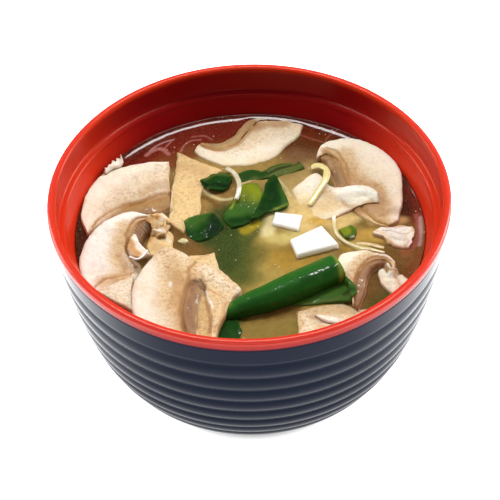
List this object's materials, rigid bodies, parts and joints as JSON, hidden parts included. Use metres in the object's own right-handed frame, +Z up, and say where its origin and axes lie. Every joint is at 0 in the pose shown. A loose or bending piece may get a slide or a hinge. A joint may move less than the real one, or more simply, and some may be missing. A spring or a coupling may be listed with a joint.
{
  "type": "miso soup in its bowl",
  "caption": "Miso soup with sliced mushrooms, tofu, green onion and leaf greens in a round ribbed bowl, navy outside and red inside.",
  "frame": {"origin": "centre of the bowl's footprint on the surface it stands on", "axes": "+Z up along the bowl's axis; -Y towards the viewer, +X to the viewer's right"},
  "size_m": [0.12, 0.12, 0.07],
  "materials": {
    "bowl": "satin navy outside, glossy red inside and on the lip",
    "soup": "wet, cloudy golden brown",
    "mushroom": "cooked white mushroom, cream with tan specks, wet",
    "mushroom_tan": "cooked mushroom soaked with broth",
    "tofu": "soft white, wet",
    "green": "dark green, wet",
    "leaf": "light green, wet",
    "onion": "pale, see-through onion, wet"
  },
  "bodies": {
    "root": {"bowl": "bowl", "green_onion_flap": "leaf", "green_onion_tube": "green", "leaf_back": "green", "leaf_bright": "leaf", "leaf_dark": "green", "leaf_far": "green", "leaf_front": "green", "leaf_left": "leaf", "leaf_small": "leaf", "mushroom_back": "mushroom", "mushroom_back_left": "mushroom", "mushroom_chip": "mushroom_tan", "mushroom_crumple": "mushroom", "mushroom_curl": "mushroom", "mushroom_front_left": "mushroom", "mushroom_front_right": "mushroom", "mushroom_left": "mushroom", "mushroom_right_back": "mushroom", "mushroom_scrap": "mushroom", "mushroom_sliver": "mushroom", "mushroom_stem_left": "mushroom", "mushroom_stem_right": "mushroom", "mushroom_torn": "mushroom", "mushroom_wedge": "mushroom_tan", "onion_arc": "onion", "onion_bit": "onion", "onion_curl": "onion", "onion_low": "onion", "onion_strand_back": "onion", "onion_strand_right": "onion", "slice_front_right": "mushroom_tan", "soup": "soup", "stem_chip": "mushroom", "stem_slab": "mushroom_tan", "tofu_back": "tofu", "tofu_front": "tofu"}
  },
  "joints": []
}
